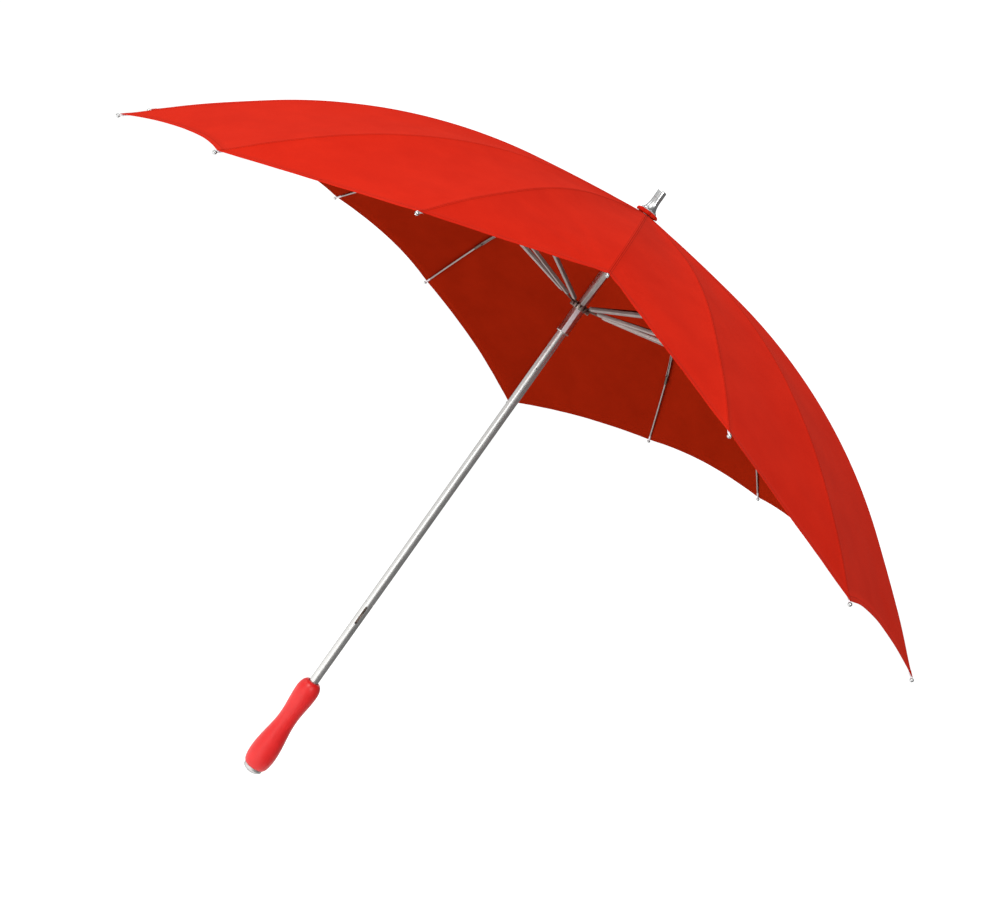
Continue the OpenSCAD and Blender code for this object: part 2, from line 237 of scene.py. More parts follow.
def copied(piece, name):
    copy = piece.copy()
    copy.data = piece.data.copy()
    copy.name = copy.data.name = name
    bpy.context.collection.objects.link(copy)
    return copy


def joined(pieces, name):
    select(pieces[0])
    for piece in pieces:
        piece.select_set(True)
    bpy.ops.object.join()
    return named(name)


def cut(piece, tool):
    applied(piece, "BOOLEAN", operation="DIFFERENCE", solver="EXACT", object=tool)
    bpy.data.objects.remove(tool, do_unlink=True)
    return piece


def drawn(points):
    """Starts a mesh as a line of vertices through the points, in millimetres, and leaves it in edit mode."""
    deselect()
    bpy.ops.mesh.primitive_plane_add(size=MM)
    bpy.ops.object.mode_set(mode="EDIT")
    bpy.ops.mesh.select_mode(type="VERT")
    everything()
    bpy.ops.mesh.merge(type="CENTER")
    points = [Vector(p) * MM for p in points]
    bpy.ops.transform.translate(value=points[0])
    for a, b in zip(points, points[1:]):
        bpy.ops.mesh.extrude_vertices_move(TRANSFORM_OT_translate={"value": b - a})


def turned(name, outline, sides=64, closed=False):
    """A round piece about the shaft's axis: its outline of (radius, height) is drawn, then spun once round."""
    drawn([(r, 0, z) for r, z in outline])
    if closed:
        everything()
        bpy.ops.mesh.edge_face_add()
        bpy.ops.mesh.delete(type="ONLY_FACE")
    everything()
    bpy.ops.mesh.spin(steps=sides, angle=2 * math.pi, center=(0, 0, 0), axis=(0, 0, 1))
    everything()
    bpy.ops.mesh.remove_doubles(threshold=1e-6)
    bpy.ops.mesh.dissolve_degenerate(threshold=1e-7)
    everything()
    bpy.ops.mesh.normals_make_consistent(inside=False)
    bpy.ops.object.mode_set(mode="OBJECT")
    return smooth(named(name))


def slab(name, size, centre, round_edges=0.0, segments=2):
    """A box of the given size in millimetres, with its edges rounded."""
    deselect()
    bpy.ops.mesh.primitive_cube_add(size=1, location=[c * MM for c in centre])
    piece = named(name)
    with shaping(piece):
        everything()
        bpy.ops.transform.resize(value=[s * MM for s in size], center_override=[c * MM for c in centre])
        if round_edges:
            bpy.ops.mesh.bevel(offset=round_edges * MM, segments=segments, affect="EDGES")
    return settle(piece)


def round_bar(name, radius, length, sides=24, centre=(0, 0, 0), turn=(0, 0, 0)):
    """A straight round bar in millimetres, along Z before it is turned."""
    deselect()
    bpy.ops.mesh.primitive_cylinder_add(radius=radius * MM, depth=length * MM, vertices=sides,
                                        location=[c * MM for c in centre], rotation=turn)
    return named(name)


def plate(name, outline, thickness, push):
    """A flat plate: its outline in the XZ plane is filled, then pushed out both ways along Y."""
    drawn([(x, push - thickness / 2, z) for x, z in outline])
    everything()
    bpy.ops.mesh.edge_face_add()
    bpy.ops.mesh.extrude_region_move(TRANSFORM_OT_translate={"value": (0, thickness * MM, 0)})
    everything()
    bpy.ops.mesh.normals_make_consistent(inside=False)
    bpy.ops.object.mode_set(mode="OBJECT")
    return named(name)


def swept(name, k, start, end, section, closed, grain=9):
    """A strip or rod along rib k: its section is drawn where it begins, then spun round each arc's centre in turn.
    The section's points are (across the rib, off the rib's middle line towards the cloth)."""
    slope = slope_at(k, start)
    x, z = along_rib(k, start, -RIB_DEPTH)
    drawn([(x + h * math.sin(slope), y, z + h * math.cos(slope)) for y, h in section])
    everything()
    if closed:
        bpy.ops.mesh.edge_face_add()
    for i in range(len(RIB_SLOPES) - 1):
        first = max(start, i * SLOPE_STEP)
        last = end if i == len(RIB_SLOPES) - 2 else min(end, (i + 1) * SLOPE_STEP)
        if last - first < 1e-6:
            continue
        slope, r, (x, z) = ARCS[k][i]
        centre = (x - r * math.sin(slope), 0, z - r * math.cos(slope))
        bpy.ops.mesh.spin(steps=max(1, round((last - first) / grain)), angle=(first - last) / r,
                          center=[c * MM for c in centre], axis=(0, 1, 0))
    everything()
    bpy.ops.mesh.remove_doubles(threshold=1e-7)
    bpy.ops.mesh.normals_make_consistent(inside=False)
    bpy.ops.object.mode_set(mode="OBJECT")
    return named(name)


def circle(radius, sides):
    return [(radius * math.cos(2 * math.pi * i / sides), radius * math.sin(2 * math.pi * i / sides))
            for i in range(sides)]


def at_rib(k):
    return Matrix.Translation(UP * CANOPY_TOP * MM) @ Matrix.Rotation(rib_azimuth(k), 4, "Z")


# ---------------------------------------------------------------- finishes

def shade(name, **values):
    """A material with one Principled shader, whose constant values are set on its own sockets."""
    material = bpy.data.materials.new(name)
    material.use_nodes = True
    shader = material.node_tree.nodes["Principled BSDF"]
    for socket, value in values.items():
        shader.inputs[socket.replace("_", " ")].default_value = value
    return material, material.node_tree, shader


def node(tree, kind, **values):
    made = tree.nodes.new(kind)
    for key, value in values.items():
        if key in made.inputs:
            made.inputs[key].default_value = value
        else:
            setattr(made, key, value)
    return made


def own_coordinates(tree, scale=(1, 1, 1)):
    place = node(tree, "ShaderNodeTexCoord")
    mapping = node(tree, "ShaderNodeMapping")
    mapping.inputs["Scale"].default_value = scale
    tree.links.new(place.outputs["Object"], mapping.inputs["Vector"])
    return mapping.outputs["Vector"]


def grain(tree, vector, scale, detail=3, roughness=0.6):
    noise_node = node(tree, "ShaderNodeTexNoise")
    noise_node.inputs["Scale"].default_value = scale
    noise_node.inputs["Detail"].default_value = detail
    noise_node.inputs["Roughness"].default_value = roughness
    tree.links.new(vector, noise_node.inputs["Vector"])
    return noise_node.outputs["Fac"]


def spread(tree, value, low, high, start=0.0, end=1.0):
    """Takes a value from 0 to 1 and spreads it between low and high."""
    out = node(tree, "ShaderNodeMapRange")
    out.inputs["From Min"].default_value, out.inputs["From Max"].default_value = start, end
    out.inputs["To Min"].default_value, out.inputs["To Max"].default_value = low, high
    tree.links.new(value, out.inputs["Value"])
    return out.outputs["Result"]


def blended(tree, factor, a, b):
    mix = node(tree, "ShaderNodeMix", data_type="RGBA")
    for socket, colour in ((mix.inputs[6], a), (mix.inputs[7], b)):
        if isinstance(colour, tuple):
            socket.default_value = (*colour, 1)
        else:
            tree.links.new(colour, socket)
    tree.links.new(factor, mix.inputs[0])
    return mix.outputs[2]


def raised(tree, shader, height, strength, distance, before=None):
    bump = node(tree, "ShaderNodeBump")
    bump.inputs["Strength"].default_value = strength
    bump.inputs["Distance"].default_value = distance
    tree.links.new(height, bump.inputs["Height"])
    if before is not None:
        tree.links.new(before, bump.inputs["Normal"])
    tree.links.new(bump.outputs["Normal"], shader.inputs["Normal"])
    return bump.outputs["Normal"]


def calculated(tree, operation, a, b=0.0, c=0.0):
    out = node(tree, "ShaderNodeMath", operation=operation)
    for socket, value in zip(out.inputs, (a, b, c)):
        if isinstance(value, (int, float)):
            socket.default_value = value
        else:
            tree.links.new(value, socket)
    return out.outputs["Value"]


THREAD = 0.0009
FOLD_WIDTH = 0.0004
SEAM_STITCHES, HEM_STITCHES = 0.0021, 0.0058
STITCHES_PER_METRE, STITCH_HALF_WIDTH, STITCH_GAP = 360, 0.0003, 0.3


def stitched(tree, distance, row_at, along):
    """A broken line of stitches where the distance is row_at."""
    off_row = calculated(tree, "ABSOLUTE", calculated(tree, "SUBTRACT", distance, row_at))
    row = calculated(tree, "LESS_THAN", off_row, STITCH_HALF_WIDTH)
    phase = calculated(tree, "FRACT", calculated(tree, "MULTIPLY", along, STITCHES_PER_METRE))
    return calculated(tree, "MULTIPLY", row, calculated(tree, "GREATER_THAN", phase, STITCH_GAP))


def cloth_finish(name, light, deep, gloss, sheen, roughness):
    """Fine plain-woven cloth with stitched seams and a stitched hem, which follow the cloth's own two maps:
    "weave" runs across and along the rib, and "edges" holds the distances to the rib's seam and to the free edge."""
    material, tree, shader = shade(name, Roughness=roughness, Specular_IOR_Level=gloss, Sheen_Weight=sheen,
                                   Sheen_Roughness=0.45)
    shader.inputs["Sheen Tint"].default_value = (1.0, 0.36, 0.28, 1)
    weave = node(tree, "ShaderNodeUVMap", uv_map="weave").outputs["UV"]
    edges = node(tree, "ShaderNodeUVMap", uv_map="edges").outputs["UV"]
    split = node(tree, "ShaderNodeSeparateXYZ")
    tree.links.new(weave, split.inputs["Vector"])
    across, along = split.outputs["X"], split.outputs["Y"]
    split = node(tree, "ShaderNodeSeparateXYZ")
    tree.links.new(edges, split.inputs["Vector"])
    to_seam, to_edge = split.outputs["X"], split.outputs["Y"]
    warp = calculated(tree, "SINE", calculated(tree, "MULTIPLY", across, 2 * math.pi / THREAD))
    weft = calculated(tree, "SINE", calculated(tree, "MULTIPLY", along, 2 * math.pi / THREAD))
    threads = calculated(tree, "MULTIPLY", warp, weft)
    # the seam's fold line, two rows of stitches beside it, and one row along the hem
    beside_seam = calculated(tree, "ABSOLUTE", to_seam)
    fold = calculated(tree, "LESS_THAN", beside_seam, FOLD_WIDTH)
    row = stitched(tree, beside_seam, SEAM_STITCHES, along)
    hem = stitched(tree, to_edge, HEM_STITCHES, across)
    lines = calculated(tree, "MAXIMUM", fold, calculated(tree, "MAXIMUM", row, hem))
    place = own_coordinates(tree)
    cloudy = grain(tree, place, 22, 4)
    slubs = grain(tree, place, 420, 2)
    colour = blended(tree, spread(tree, cloudy, 0.0, 1.0, 0.3, 0.7), deep, light)
    darker = tuple(c * 0.86 for c in deep)
    colour = blended(tree, spread(tree, slubs, 0.0, 0.22, 0.35, 0.75), colour, darker)
    colour = blended(tree, calculated(tree, "MULTIPLY", lines, 0.75), colour, tuple(c * 0.45 for c in deep))
    tree.links.new(colour, shader.inputs["Base Color"])
    tree.links.new(spread(tree, slubs, roughness - 0.06, roughness + 0.08, 0.3, 0.7), shader.inputs["Roughness"])
    first = raised(tree, shader, threads, 0.12, 0.00012)
    second = raised(tree, shader, slubs, 0.25, 0.0002, first)
    raised(tree, shader, calculated(tree, "MULTIPLY", lines, -1), 0.5, 0.0003, second)
    return material


def grip_finish():
    material, tree, shader = shade("red grip", Roughness=0.4, Specular_IOR_Level=0.42)
    place = own_coordinates(tree)
    mottle = grain(tree, place, 60, 3)
    pores = grain(tree, place, 1500, 2)
    deep, light = (0.58, 0.0085, 0.0085), (0.64, 0.0105, 0.0105)
    colour = blended(tree, spread(tree, mottle, 0, 1, 0.3, 0.7), deep, light)
    tree.links.new(colour, shader.inputs["Base Color"])
    tree.links.new(spread(tree, mottle, 0.36, 0.44, 0.3, 0.7), shader.inputs["Roughness"])
    raised(tree, shader, pores, 0.10, 0.0001)
    return material


def metal_finish(name, light, deep, roughness, along=(1, 1, 1), lines=900, strength=0.12, metallic=1.0):
    """Metal whose fine lines follow the way that it was drawn: along is the pattern's stretch on each axis."""
    material, tree, shader = shade(name, Metallic=metallic, Roughness=roughness, Specular_Tint=(0.3, 0.3, 0.3, 1))
    place = own_coordinates(tree)
    drawn_lines = grain(tree, own_coordinates(tree, along), lines, 2)
    dull = grain(tree, place, 45, 4)
    colour = blended(tree, spread(tree, dull, 0, 1, 0.3, 0.7), deep, light)
    tree.links.new(colour, shader.inputs["Base Color"])
    both = calculated(tree, "ADD", calculated(tree, "MULTIPLY", drawn_lines, 0.6),
                      calculated(tree, "MULTIPLY", dull, 0.4))
    tree.links.new(spread(tree, both, roughness * 0.75, roughness * 1.35, 0.3, 0.7), shader.inputs["Roughness"])
    raised(tree, shader, drawn_lines, strength, 0.00008)
    return material


def moulded_finish(name, light, deep, roughness):
    material, tree, shader = shade(name, Roughness=roughness, Specular_IOR_Level=0.5)
    place = own_coordinates(tree)
    mottle = grain(tree, place, 180, 3)
    fine = grain(tree, place, 2200, 2)
    colour = blended(tree, spread(tree, mottle, 0, 1, 0.3, 0.7), deep, light)
    tree.links.new(colour, shader.inputs["Base Color"])
    tree.links.new(spread(tree, mottle, roughness - 0.05, roughness + 0.07, 0.3, 0.7), shader.inputs["Roughness"])
    raised(tree, shader, fine, 0.12, 0.00008)
    return material


CLOTH = cloth_finish("canopy cloth", (0.52, 0.0165, 0.0062), (0.47, 0.0135, 0.0052),
                     gloss=0.0, sheen=0.06, roughness=0.6)
# The inner side is the same cloth painted about half as bright: painted shade for the shaded underside of the canopy.
CLOTH_INSIDE_PAINTED_SHADE = cloth_finish("canopy cloth, inner side with painted shade", (0.275, 0.0125, 0.0026), (0.240, 0.0105, 0.0021),
                            gloss=0.0, sheen=0.0, roughness=0.8)
GRIP_RED = grip_finish()
SATIN = metal_finish("satin aluminium tube", (0.66, 0.655, 0.64), (0.60, 0.595, 0.58), 0.27,
                     along=(1, 1, 0.02), strength=0.03)
SILVER = metal_finish("polished silver plating", (0.56, 0.57, 0.57), (0.49, 0.50, 0.50), 0.26,
                      along=(1, 1, 0.05), lines=700, strength=0.02)
CAP_SILVER = metal_finish("satin silver cap", (0.52, 0.515, 0.51), (0.46, 0.455, 0.45), 0.34, strength=0.04)
PALE = moulded_finish("pale moulded plastic", (0.74, 0.70, 0.73), (0.66, 0.62, 0.65), 0.38)
RIB_GREY = metal_finish("grey coated steel strip", (0.36, 0.305, 0.29), (0.30, 0.25, 0.235), 0.38,
                        lines=700, strength=0.06, metallic=0.75)
CROWN_GREY = metal_finish("brown-grey cast metal", (0.36, 0.31, 0.28), (0.27, 0.23, 0.20), 0.34, lines=800)
DARK = metal_finish("dark steel wire", (0.16, 0.12, 0.10), (0.09, 0.07, 0.06), 0.36, lines=700, strength=0.15)


def finished(piece, material, slot, body, *stands_for):
    piece.data.materials.clear()
    piece.data.materials.append(material)
    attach(piece, body)
    if stands_for:
        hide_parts(*stands_for)
    return piece


def refinish(node_name, material):
    mesh_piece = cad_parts[node_name]
    if not mesh_piece.material_slots:
        mesh_piece.data.materials.append(material)
    for material_slot in mesh_piece.material_slots:
        material_slot.material = material


# ---------------------------------------------------------------- grip, shaft and ferrule

def swelling(low, high, steps):
    """A smooth swelling of the side from one (height, radius) to the next, without its last point."""
    (z0, r0), (z1, r1) = low, high
    return [(r0 + (r1 - r0) * (1 - math.cos(math.pi * i / steps)) / 2, z0 + (z1 - z0) * i / steps)
            for i in range(steps)]


def round_end(shoulder, rim_r, end_z, t):
    """A point of a quarter ellipse, which runs from the shoulder (height, radius) at 0 to the rim at 1."""
    z, r = shoulder
    return rim_r + (r - rim_r) * math.cos(math.pi / 2 * t), z + (end_z - z) * math.sin(math.pi / 2 * t)


GRIP_HALF, GRIP_BORE_FOOT = 65.5, -57
GRIP_BOTTOM, GRIP_WAIST, GRIP_TOP = (-46, 17.8), (10, 12.3), (50, 15)
grip_side = [(0, -GRIP_HALF)]
grip_side += [round_end(GRIP_BOTTOM, 13, -GRIP_HALF, i / 10) for i in range(10, 0, -1)]
grip_side += swelling(GRIP_BOTTOM, GRIP_WAIST, 26) + swelling(GRIP_WAIST, GRIP_TOP, 20)
grip_side += [round_end(GRIP_TOP, 7.5, GRIP_HALF, i / 12) for i in range(13)]
grip_side += [(7.0, GRIP_HALF - 0.15), (6.6, GRIP_HALF - 0.6), (FIT_R, GRIP_HALF - 1.3)]
grip_side += [(FIT_R, GRIP_BORE_FOOT), (0, GRIP_BORE_FOOT)]
grip = turned("grip", grip_side, 72)
finished(grip, GRIP_RED, "red_grip", "shaft", "handle_grip")

CAP_R, CAP_EDGE_Z, CAP_DOME = 12.8, -68.3, 6.2
cap_side = [(0, CAP_EDGE_Z - CAP_DOME)]
cap_side += [(CAP_R * math.sin(a), CAP_EDGE_Z - CAP_DOME * math.cos(a))
             for a in (math.pi / 2 * i / 12 for i in range(1, 13))]
cap_side += [(CAP_R, -66.1), (CAP_R - 0.25, -65.75), (CAP_R - 0.8, -65.56), (0, -65.56)]
end_cap = turned("grip_end_cap", cap_side, 72)
finished(end_cap, CAP_SILVER, "polished_silver", "shaft", "handle_end_cap")

tube_side = [(SHAFT_BORE_R, SHAFT_FOOT), (SHAFT_R - 0.15, SHAFT_FOOT), (SHAFT_R, SHAFT_FOOT + 0.2)]
tube_side += [(SHAFT_R, SHAFT_TOP - 0.2), (SHAFT_R - 0.15, SHAFT_TOP), (SHAFT_BORE_R, SHAFT_TOP)]
tube = turned("shaft", tube_side, 64, closed=True)
for slot_z, slot_length, side in ((573, 42, 1), (170, 26, -1)):
    tool = slab("slot_tool", (2.8, 8, slot_length), (0, side * SHAFT_R, slot_z))
    cut(tube, applied(tool, "BEVEL", width=1.2 * MM, segments=4, limit_method="ANGLE", angle_limit=1.2))
for pin_y, pin_z in (TOP_CATCH, BOTTOM_CATCH):
    cut(tube, round_bar("pin_hole_tool", 0.85, 24, centre=(0, pin_y, pin_z), turn=ALONG_X))
cut(tube, round_bar("hole_tool", 0.9, 4, centre=(0, -SHAFT_R, 543), turn=ALONG_Y))
smooth(tube, 30)
finished(tube, SATIN, "satin_aluminium", "shaft", "shaft_tube")

WASHER_Z = 774.87
washer_side = [(FIT_R, 0), (10.4, 0), (10.7, 0.13), (10.7, 0.43), (10.45, 0.57), (FIT_R, 0.57)]
washer = turned("ferrule_collar", [(r, WASHER_Z + z) for r, z in washer_side], 64, closed=True)
finished(washer, PALE, "pale_plastic", "shaft", "ferrule_washer")

FERRULE_Z, FERRULE_H, FERRULE_R = 775.5, 28, 5.8
ferrule_side = [(0, 9), (FIT_R, 9), (FIT_R, 0), (9.95, 0), (10.2, 0.25)]
ferrule_side += [(FERRULE_R + 4.4 * (1 - math.sin(a)), 0.8 + 14 * (1 - math.cos(a)))
                 for a in (math.pi / 2 * i / 16 for i in range(17))]
ferrule_side += [(FERRULE_R, 17), (FERRULE_R - 0.15, 17.15), (FERRULE_R - 0.15, 17.6), (FERRULE_R, 17.75)]
ferrule_side += [(FERRULE_R - 1.2 * (1 - math.cos(a)), FERRULE_H - 1.2 * (1 - math.sin(a)))
                 for a in (math.pi / 2 * i / 6 for i in range(7))]
ferrule_side += [(3.2, FERRULE_H), (2.9, FERRULE_H - 0.3), (0, FERRULE_H - 0.3)]
ferrule = turned("ferrule_body", [(r, FERRULE_Z + z) for r, z in ferrule_side], 72)
finished(ferrule, SILVER, "polished_silver", "shaft", "ferrule")


# ---------------------------------------------------------------- notch and runner

SLIDE_R, SLOT_FLOOR = 6.1, 9
crown_side = [(SLIDE_R, -3.7), (6.4, -4), (13.1, -4), (13.4, -3.85), (13.5, -3.5), (13.5, 3.5), (13.4, 3.85),
              (13.1, 4), (9.6, 4), (9.3, 3.7), (7.4, 3.7), (6.4, 4), (SLIDE_R, 3.8)]
crown = turned("crown", crown_side, 96, closed=True)
crown_tools = []
for k in range(RIB_COUNT):
    tool = slab("crown_slot", (8, 1.8, 12), (SLOT_FLOOR + 4, 0, 0))
    crown_tools.append(settle(tool, Matrix.Rotation(rib_azimuth(k), 4, "Z")))
cut(crown, joined(crown_tools, "crown_slots"))
bevelled(crown, 0.18, 2, 50)
smooth(crown)

notch = settle(copied(crown, "notch_crown"), Matrix.Translation(UP * RING_Z * MM))
finished(notch, SATIN, "satin_aluminium", "shaft", "top_notch")
refinish("notch_wire", DARK)
refinish("runner_wire", DARK)

SLEEVE_FOOT = -38
sleeve_side = [(SLIDE_R, -3.9), (7.6, -3.9)]
sleeve_side += [(r, SLEEVE_FOOT + z) for r, z in (
    (7.6, 3.4), (7.8, 3.1), (8.0, 3.0), (8.2, 2.7), (8.2, 0.35), (8.1, 0.1), (7.85, 0), (6.35, 0), (SLIDE_R, 0.25))]
runner_sleeve = turned("runner_sleeve", sleeve_side, 64, closed=True)
pad = slab("runner_pad", (5.6, 4.2, 32.3), (0, -7.25, SLEEVE_FOOT + 1.5 + 16.15), 0.5, 4)
for tool in (slab("groove_tool", (3.2, 9, 40), (0, 4.5, SLEEVE_FOOT + 19)),
             slab("covered_groove_tool", (3.2, 8.7, 33.6), (0, -4.35, SLEEVE_FOOT + 16.7))):
    cut(runner_sleeve, tool)
bevelled(runner_sleeve, 0.15, 2, 50)
cut(pad, turned("bore_tool", [(0, -45), (6.46, -45), (6.46, 5), (0, 5)], 48))
cut(pad, slab("covered_groove_tool", (3.2, 8.7, 60), (0, -4.35, SLEEVE_FOOT + 16.7)))
runner_crown = copied(crown, "runner_crown")
cut(runner_crown, slab("groove_tool", (3.2, 9, 40), (0, 4.5, 0)))
for piece, name, material, slot in ((runner_sleeve, "runner_sleeve", SATIN, "satin_aluminium"),
                                    (pad, "runner_pad", PALE, "pale_plastic"),
                                    (runner_crown, "runner_crown", CROWN_GREY, "rib_steel")):
    piece.name = piece.data.name = name
    smooth(settle(piece, Matrix.Translation(UP * RUNNER_Z * MM)))
    finished(piece, material, slot, "runner", "runner")
bpy.data.objects.remove(crown, do_unlink=True)


# ---------------------------------------------------------------- the two spring catches

def leaf_catch(name, length):
    """A sprung leaf that leans out of the shaft's slot, with the pin that it turns on."""
    foot = [(-0.4, 0.6), (-0.28, 0.1), (0, -0.1), (0.28, 0.1), (0.4, 0.6), (0.4, length - 15)]
    nose = [(1.6, length - 11.5), (4.9, length - 1.4), (5.0, length - 1.0), (5.0, length - 0.25), (4.8, length)]
    leaf = plate(name, foot + nose + [(-0.2, length), (-0.4, length - 0.2)], 2.2, 0)
    bevelled(leaf, 0.16, 2, 25)
    settle(leaf, Matrix.Rotation(math.radians(90), 4, "Z"))
    pin = settle(round_bar("pin", 0.8, 8.4, turn=ALONG_X))
    with shaping(pin):
        pick(pin, lambda middle, normal: abs(normal.x) > 0.9)
        bpy.ops.mesh.inset(thickness=0.15 * MM, depth=0.12 * MM)
        bpy.ops.mesh.bevel(offset=0.05 * MM, segments=1, affect="EDGES")
    return smooth(joined([leaf, pin], name))


def at_pin(place):
    y, z = place
    return Matrix.Translation((0, y * MM, z * MM))


top = settle(leaf_catch("catch_leaf_top", 44), at_pin(TOP_CATCH))
finished(top, DARK, "dark_steel", "top_catch", "top_catch")
low = settle(leaf_catch("catch_leaf_bottom", 29), at_pin(BOTTOM_CATCH) @ Matrix.Rotation(math.pi, 4, "X"))
finished(low, DARK, "dark_steel", "bottom_catch", "bottom_catch")


# ---------------------------------------------------------------- ribs

EYE_Z, EYE_R = -7.5, 1.7
tab_x, tab_z = along_rib(0, 24, -RIB_DEPTH)
tab_angle = math.atan2(tab_z - EYE_Z, tab_x - RING_R)
tab_run = math.hypot(tab_x - RING_R, tab_z - EYE_Z)
blade_side = [(EYE_R * math.cos(a), EYE_R * math.sin(a)) for a in (math.pi / 2 + math.pi * i / 12 for i in range(13))]
blade_side += [(2.2, -1.2), (tab_run - 0.6, -1.2), (tab_run + 1.4, -0.5), (tab_run + 1.4, 1.0)]
blade_side += [(tab_run - 0.4, 1.2), (2.2, 1.2)]
blade = plate("rib_eye_blade", blade_side, 1.2, 0)
cut(blade, round_bar("eye_tool", 0.65, 4, turn=ALONG_Y))
bevelled(blade, 0.14, 2, 40)
settle(blade, Matrix.Translation((RING_R * MM, 0, EYE_Z * MM)) @ Matrix.Rotation(-tab_angle, 4, "Y"))

rivet_parts = [settle(round_bar("rivet", 0.9, 5.6, 20, turn=ALONG_Y))]
for side in (-1, 1):
    head = settle(round_bar("rivet_head", 1.5, 0.5, centre=(0, side * 3.05, 0), turn=ALONG_Y))
    rivet_parts.append(bevelled(head, 0.22, 3, 40))
rivet_pin = settle(joined(rivet_parts, "rivet"), Matrix.Translation((RIVET[0] * MM, 0, RIVET[1] * MM)))

STRIP = [(-1.45, -1.5), (-1.45, 0.6), (-1.36, 0.98), (-1.1, 1.2), (-0.7, 1.27)]
STRIP += [(-y, h) for y, h in reversed(STRIP)]


def ball_tip(m):
    """The ball at the end of rib m, with a flat on its top and a groove round it."""
    deselect()
    bpy.ops.mesh.primitive_uv_sphere_add(radius=2.4 * MM, segments=28, ring_count=18)
    ball = named("ball")
    with shaping(ball):
        pick(ball, lambda middle, normal: middle.z > 2.15 * MM)
        bpy.ops.mesh.extrude_region_move(TRANSFORM_OT_translate={"value": (0, 0, -0.35 * MM)})
        bpy.ops.transform.resize(value=(0.72, 0.72, 1), center_override=(0, 0, 1.9 * MM))
        pick(ball, lambda middle, normal: -1.75 * MM < middle.z < -1.25 * MM)
        bpy.ops.mesh.extrude_region_shrink_fatten(TRANSFORM_OT_shrink_fatten={"value": -0.16 * MM})
        everything()
        bpy.ops.mesh.normals_make_consistent(inside=False)
    end = RIB_LENGTHS[m]
    x, z = along_rib(m, end, -RIB_DEPTH)
    turn = Matrix.Rotation(math.pi / 2 + slope_at(m, end), 4, "Y")
    return smooth(settle(ball, Matrix.Translation((x * MM, 0, z * MM)) @ turn), 50)


rib_pieces = {k: [] for k in range(RIB_COUNT)}
for m in range(RIB_COUNT // 2 + 1):
    end, joint = RIB_LENGTHS[m], sleeve_place(m)
    channel = swept("channel", m, 20, joint - SLEEVE_HALF, STRIP, False, 10)
    applied(channel, "SOLIDIFY", thickness=0.5 * MM, offset=0)
    rod = swept("rod", m, joint + SLEEVE_HALF + 0.05, end - TIP_CAP_FROM, circle(1.3, 12), True, 10)
    strip = smooth(joined([channel, rod, copied(blade, "blade"), copied(rivet_pin, "rivet_copy")], "strip"))
    sleeve = swept("sleeve", m, joint - SLEEVE_HALF + 0.05, joint + SLEEVE_HALF, circle(2.2, 20), True, 4.5)
    smooth(bevelled(sleeve, 0.5, 3, 50))
    neck = swept("neck", m, end - TIP_CAP_FROM + 0.05, end - TIP_CAP_END, circle(1.25, 20), True, 3.5)
    smooth(bevelled(neck, 0.3, 3, 50))
    ball = ball_tip(m)
    for k in sorted({m, RIB_COUNT - m if m else 0}):
        for piece, kind, material, slot in ((strip, "strip", RIB_GREY, "rib_steel"),
                                            (sleeve, "sleeve", DARK, "dark_steel"),
                                            (neck, "neck", PALE, "pale_plastic"),
                                            (ball, "ball", SILVER, "polished_silver")):
            copy = settle(copied(piece, f"rib_{kind}_{k:02d}"), at_rib(k))
            finished(copy, material, slot, f"rib_{k:02d}", f"rib_{k:02d}")
            rib_pieces[k].append(copy)
    for piece in (strip, sleeve, neck, ball):
        bpy.data.objects.remove(piece, do_unlink=True)
for piece in (blade, rivet_pin):
    bpy.data.objects.remove(piece, do_unlink=True)


# ---------------------------------------------------------------- stretchers

BAR_START, WEB_END = 22, STRETCHER_LENGTH - 12
TROUGH = [(-2.35, 2.0), (-2.35, -1.0), (-2.22, -1.45), (-1.9, -1.7), (-1.4, -1.75)]
TROUGH += [(-y, z) for y, z in reversed(TROUGH)]
drawn([(BAR_START, y, z) for y, z in TROUGH])
everything()
stations = [BAR_START, BAR_START + 5, WEB_END - 12, WEB_END]
for a, b in zip(stations, stations[1:]):
    bpy.ops.mesh.extrude_region_move(TRANSFORM_OT_translate={"value": ((b - a) * MM, 0, 0)})
everything()
bpy.ops.mesh.normals_make_consistent(inside=False)
bpy.ops.object.mode_set(mode="OBJECT")
trough = applied(named("trough"), "SOLIDIFY", thickness=0.5 * MM, offset=0)
cheek_back = WEB_END - 1 - STRETCHER_LENGTH
cheek_side = [(cheek_back, 2)]
cheek_side += [(2 * math.sin(math.pi * i / 14), 2 * math.cos(math.pi * i / 14)) for i in range(15)]
cheek_side += [(-8, -2), (-10, -1.85), (cheek_back, -1.4)]
cheeks = []
for side in (-1, 1):
    cheek = plate("cheek", cheek_side, 0.5, side * 2.35)
    cut(cheek, round_bar("rivet_tool", 0.98, 10, turn=ALONG_Y))
    cheeks.append(settle(bevelled(cheek, 0.1, 2, 40), Matrix.Translation((STRETCHER_LENGTH * MM, 0, 0))))
plug = slab("plug", (5, 4.2, 3.3), (BAR_START + 2.5, 0, 0), 0.35)
bar = smooth(joined([trough, plug] + cheeks, "stretcher_bar"))

WIRE_START = 1.2
deselect()
bpy.ops.mesh.primitive_torus_add(major_radius=1.07 * MM, minor_radius=0.43 * MM, major_segments=28,
                                 minor_segments=12, rotation=ALONG_Y)
eye = settle(named("eye"))
wire = settle(round_bar("wire", 0.6, ROD_END - WIRE_START, 16, ((ROD_END + WIRE_START) / 2, 0, 0), ALONG_X))
with shaping(wire):
    pick(wire, lambda middle, normal: normal.x < -0.9)
    bpy.ops.transform.resize(value=(1, 0.7, 0.75), center_override=(WIRE_START * MM, 0, 0))
bevelled(wire, 0.12, 2, 50)
wire = smooth(joined([wire, eye], "stretcher_wire"))

